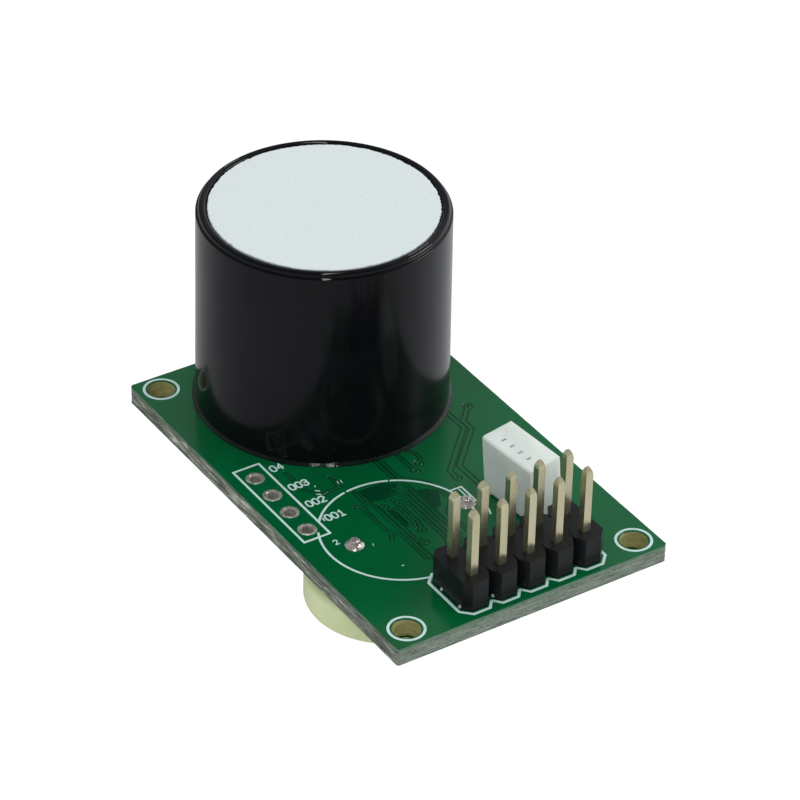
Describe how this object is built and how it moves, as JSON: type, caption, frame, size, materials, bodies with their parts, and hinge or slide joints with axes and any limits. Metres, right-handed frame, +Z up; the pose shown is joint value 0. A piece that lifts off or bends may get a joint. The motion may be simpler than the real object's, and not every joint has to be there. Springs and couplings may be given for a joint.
{
  "type": "ultrasonic distance sensor",
  "caption": "Green circuit board carrying a round black ultrasonic transducer with a white face, a two-row pin header, a white socket and a flat capacitor underneath.",
  "frame": {"origin": "centre of the four mounting holes, on the underside of the board", "axes": "+Z up out of the board towards the transducer's face, +Y along the board towards the transducer, +X across the board with the service holes on the -X side"},
  "size_m": [0.0244, 0.0409, 0.0233],
  "materials": {
    "circuit_board": "green solder mask over glass epoxy, satin gloss",
    "tinned_copper": "tin plated, satin",
    "pin_plating": "pale champagne plating, satin",
    "header_plastic": "black moulded thermoplastic, satin",
    "solder": "bright solder",
    "socket_nylon": "white nylon, satin",
    "can_black": "black gloss",
    "face_film": "pale blue-white, finely textured, matt",
    "piezo_ceramic": "silvered ceramic",
    "damping_rubber": "soft black rubber",
    "backing_felt": "grey felt",
    "potting_epoxy": "cast black epoxy",
    "base_plastic": "black moulded plastic",
    "copper_wire": "enamelled copper",
    "adhesive": "clear dark adhesive, glossy",
    "capacitor_sleeve": "pale yellow-green shrink film",
    "capacitor_steel": "nickel plated steel",
    "carbon_stack": "carbon electrode",
    "package_epoxy": "black moulded epoxy",
    "crystal_ceramic": "brown ceramic",
    "crystal_lid": "plated metal lid",
    "chip_capacitor": "tan ceramic",
    "chip_resistor": "black glazed ceramic"
  },
  "bodies": {
    "root": {"amplifier_body": "package_epoxy", "amplifier_leads": "tinned_copper", "backing_pad": "backing_felt", "bonding_bead": "adhesive", "capacitor_case": "capacitor_steel", "capacitor_core": "carbon_stack", "capacitor_gasket": "base_plastic", "capacitor_lid": "capacitor_steel", "capacitor_sleeve": "capacitor_sleeve", "capacitor_solder_joint_1": "solder", "capacitor_solder_joint_2": "solder", "capacitor_tab_far": "tinned_copper", "capacitor_tab_near": "tinned_copper", "chip_capacitor_bodies": "chip_capacitor", "chip_resistor_bodies": "chip_resistor", "chip_terminals": "solder", "circuit_board": "circuit_board", "crystal_base": "crystal_ceramic", "crystal_lid": "crystal_lid", "damping_ring": "damping_rubber", "driver_body": "package_epoxy", "driver_leads": "tinned_copper", "face_disc": "face_film", "header_pin_01": "pin_plating", "header_pin_02": "pin_plating", "header_pin_03": "pin_plating", "header_pin_04": "pin_plating", "header_pin_05": "pin_plating", "header_pin_06": "pin_plating", "header_pin_07": "pin_plating", "header_pin_08": "pin_plating", "header_pin_09": "pin_plating", "header_pin_10": "pin_plating", "header_solder_joints": "solder", "lead_wire_ground": "copper_wire", "lead_wire_signal": "copper_wire", "microcontroller_body": "package_epoxy", "microcontroller_leads": "tinned_copper", "piezo_disc": "piezo_ceramic", "piezo_solder_dots": "solder", "pin_header_block": "header_plastic", "potting_compound": "potting_epoxy", "regulator_body": "package_epoxy", "regulator_leads": "tinned_copper", "service_hole_pads": "tinned_copper", "socket_contact_1": "tinned_copper", "socket_contact_2": "tinned_copper", "socket_contact_3": "tinned_copper", "socket_contact_4": "tinned_copper", "socket_housing": "socket_nylon", "socket_solder_joints": "solder", "transducer_base": "base_plastic", "transducer_pin_ground": "tinned_copper", "transducer_pin_signal": "tinned_copper", "transducer_shell": "can_black", "transducer_solder_joints": "solder"}
  },
  "joints": []
}
